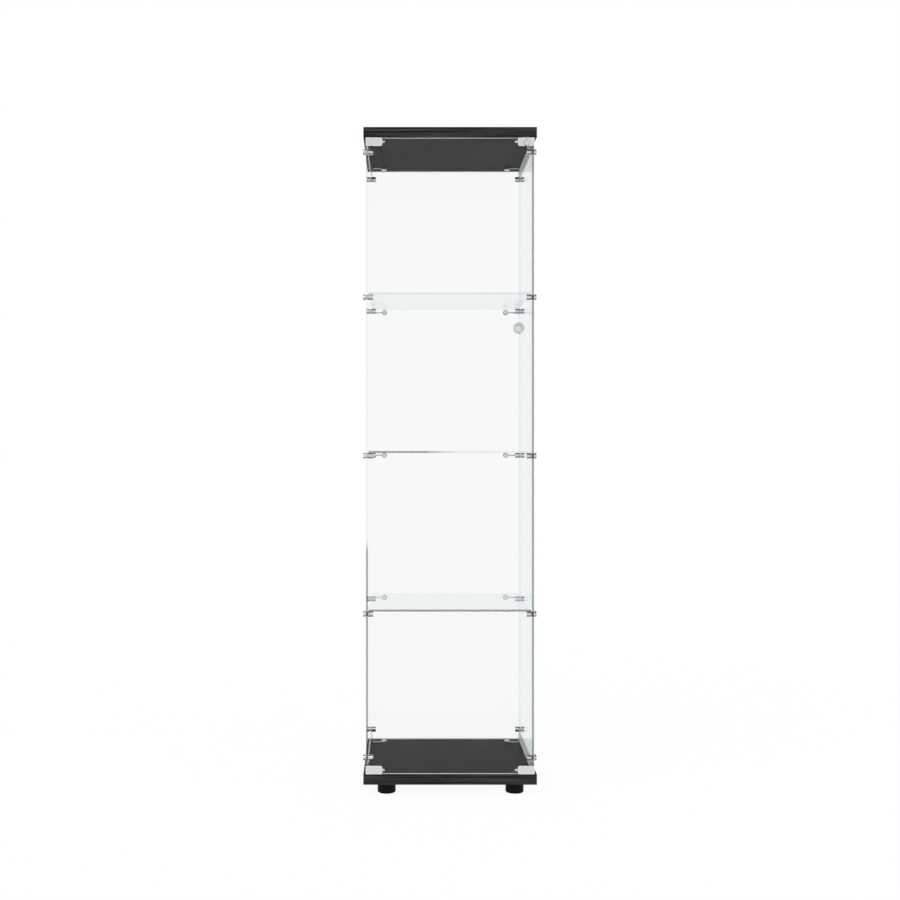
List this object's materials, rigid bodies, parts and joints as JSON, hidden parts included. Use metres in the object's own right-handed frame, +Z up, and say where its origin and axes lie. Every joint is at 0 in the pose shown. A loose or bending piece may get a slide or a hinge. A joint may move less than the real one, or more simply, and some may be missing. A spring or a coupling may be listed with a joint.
{
  "type": "glass display cabinet",
  "caption": "Tall frameless glass display cabinet with wood-grain top and base, through-glass studs, glass shelves and a frameless door with pivot hinges, knob, lock and catch.",
  "frame": {"origin": "floor level, under the middle of the whole outline, with the knob and key included; the panels' front edges are 170 mm in front of it and their rear edges 195 mm behind it", "axes": "+Z up, the door faces -Y, +X to the right of a person facing the door"},
  "size_m": [0.428, 0.39, 1.64],
  "materials": {
    "black_woodgrain_board": "matt laminate",
    "black_edge_band": "fine grain",
    "clear_glass": "polished",
    "polished_steel": "polished",
    "satin_zinc": "satin",
    "bare_steel": "brushed",
    "screw_steel": "zinc plated",
    "clear_pvc": "clear soft",
    "white_nylon": "moulded",
    "dark_magnet": "sintered",
    "plated_lock_metal": "nickel plated",
    "black_plastic": "moulded"
  },
  "bodies": {
    "carcass": {"top_panel": "black_woodgrain_board", "base_panel": "black_woodgrain_board", "top_edge_banding": "black_edge_band", "base_edge_banding": "black_edge_band", "left_side_glass": "clear_glass", "right_side_glass": "clear_glass", "back_glass": "clear_glass", "lower_shelf": "clear_glass", "middle_shelf": "clear_glass", "upper_shelf": "clear_glass", "stud_barrels": "polished_steel", "stud_caps": "polished_steel", "stud_screws": "screw_steel", "stud_washers": "clear_pvc", "stud_sleeves": "polished_steel", "stud_spacers": "polished_steel", "shelf_corner_ties": "polished_steel", "front_panel_ties": "polished_steel", "rear_panel_ties": "polished_steel", "panel_tie_screws": "screw_steel", "back_tie_screws": "screw_steel", "back_tie_nuts": "screw_steel", "back_tie_washers": "clear_pvc", "foot_screws": "screw_steel", "top_pivot_bushing": "white_nylon", "bottom_pivot_bushing": "white_nylon", "lock_keeper": "bare_steel", "keeper_screws": "screw_steel", "magnet_housing": "white_nylon", "catch_magnet": "dark_magnet", "magnet_screws": "screw_steel", "front_left_foot": "black_plastic", "front_right_foot": "black_plastic", "rear_left_foot": "black_plastic", "rear_right_foot": "black_plastic"},
    "door": {"door_glass": "clear_glass", "top_hinge_clamp": "satin_zinc", "bottom_hinge_clamp": "satin_zinc", "top_hinge_back_plate": "bare_steel", "bottom_hinge_back_plate": "bare_steel", "top_pivot_pin": "polished_steel", "bottom_pivot_pin": "polished_steel", "hinge_gaskets": "clear_pvc", "hinge_screws": "screw_steel", "door_knob": "satin_zinc", "knob_washers": "clear_pvc", "knob_screw": "screw_steel", "catch_clamp": "satin_zinc", "catch_strike_plate": "bare_steel", "catch_gaskets": "clear_pvc", "catch_screw": "screw_steel", "lock_case": "satin_zinc", "lock_back_plate": "bare_steel", "lock_gaskets": "clear_pvc"},
    "lock_core": {"lock_plug": "plated_lock_metal", "lock_cam": "bare_steel", "cam_screw": "screw_steel", "key": "plated_lock_metal"}
  },
  "joints": [
    {"name": "door_hinge", "type": "hinge", "parent": "carcass", "child": "door", "pos_m": [-0.2004, -0.1645, 0.835], "axis": [0, 0, -1], "range_deg": [0, 105]},
    {"name": "lock_turn", "type": "hinge", "parent": "door", "child": "lock_core", "pos_m": [0.1873, -0.166, 1.601], "axis": [0, 1, 0], "range_deg": [0, 90]}
  ]
}
